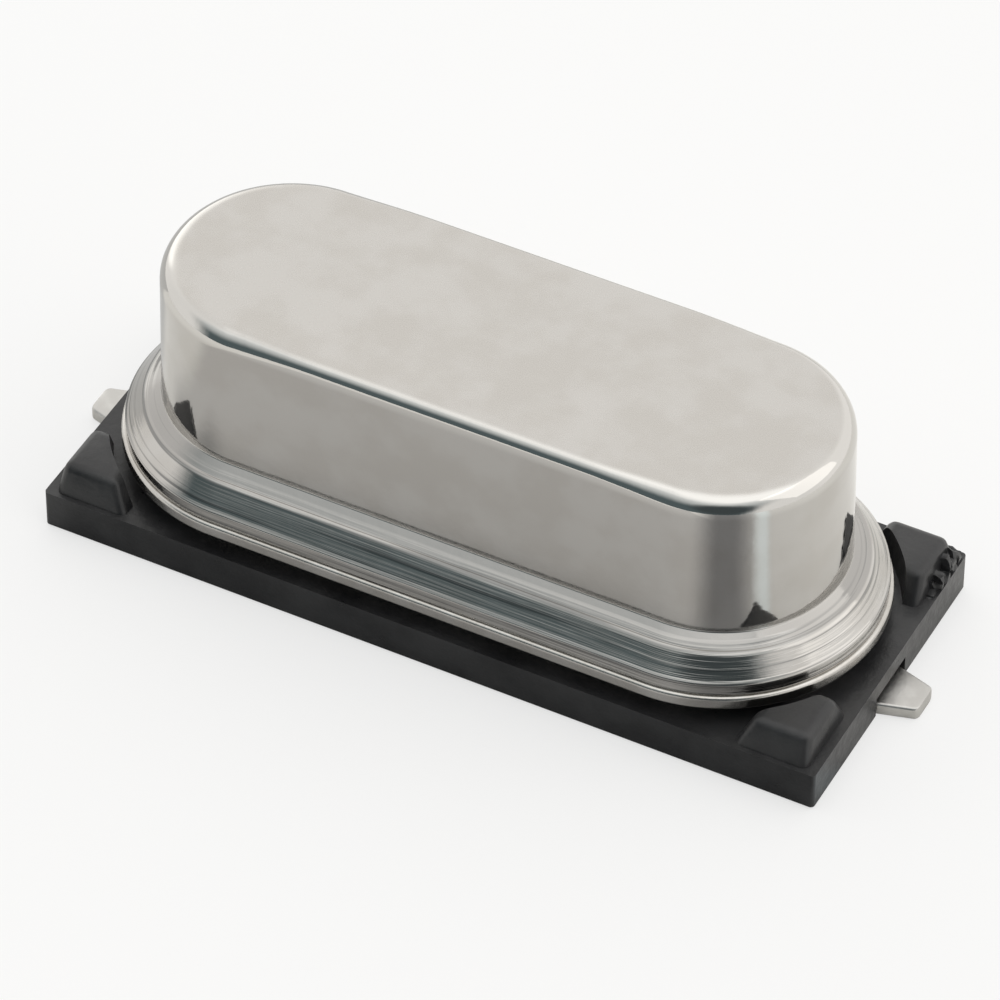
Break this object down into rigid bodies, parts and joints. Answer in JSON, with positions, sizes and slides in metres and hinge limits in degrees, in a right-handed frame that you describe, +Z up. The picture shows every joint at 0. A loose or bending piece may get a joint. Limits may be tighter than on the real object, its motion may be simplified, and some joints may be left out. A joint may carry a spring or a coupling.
{
  "type": "crystal oscillator",
  "caption": "Low-profile metal-can quartz crystal on a black moulded surface-mount base, with corner guards and a flat tinned solder foot at each end.",
  "frame": {"origin": "middle of the solder plane, under the centre of the base", "axes": "+X along the length towards the right lead, +Y across the base, +Z up from the board"},
  "size_m": [0.0124, 0.0046, 0.0039],
  "materials": {
    "moulded_plastic": "black moulded plastic, satin, faintly mottled",
    "can_metal": "drawn nickel silver, satin",
    "header_metal": "plated steel alloy, satin",
    "tinned_lead": "tinned, soft sheen",
    "seal_glass": "dark green sealing glass",
    "clip_metal": "spring strip",
    "quartz": "lapped clear quartz",
    "silver_film": "evaporated silver",
    "silver_paste": "cured silver-filled paste"
  },
  "bodies": {
    "root": {"plastic_base": "moulded_plastic", "can": "can_metal", "header": "header_metal", "lead_left": "tinned_lead", "lead_right": "tinned_lead", "glass_bead_left": "seal_glass", "glass_bead_right": "seal_glass", "spring_clip_left": "clip_metal", "spring_clip_right": "clip_metal", "quartz_blank": "quartz", "electrode_front": "silver_film", "electrode_back": "silver_film", "adhesive_left": "silver_paste", "adhesive_right": "silver_paste"}
  },
  "joints": []
}
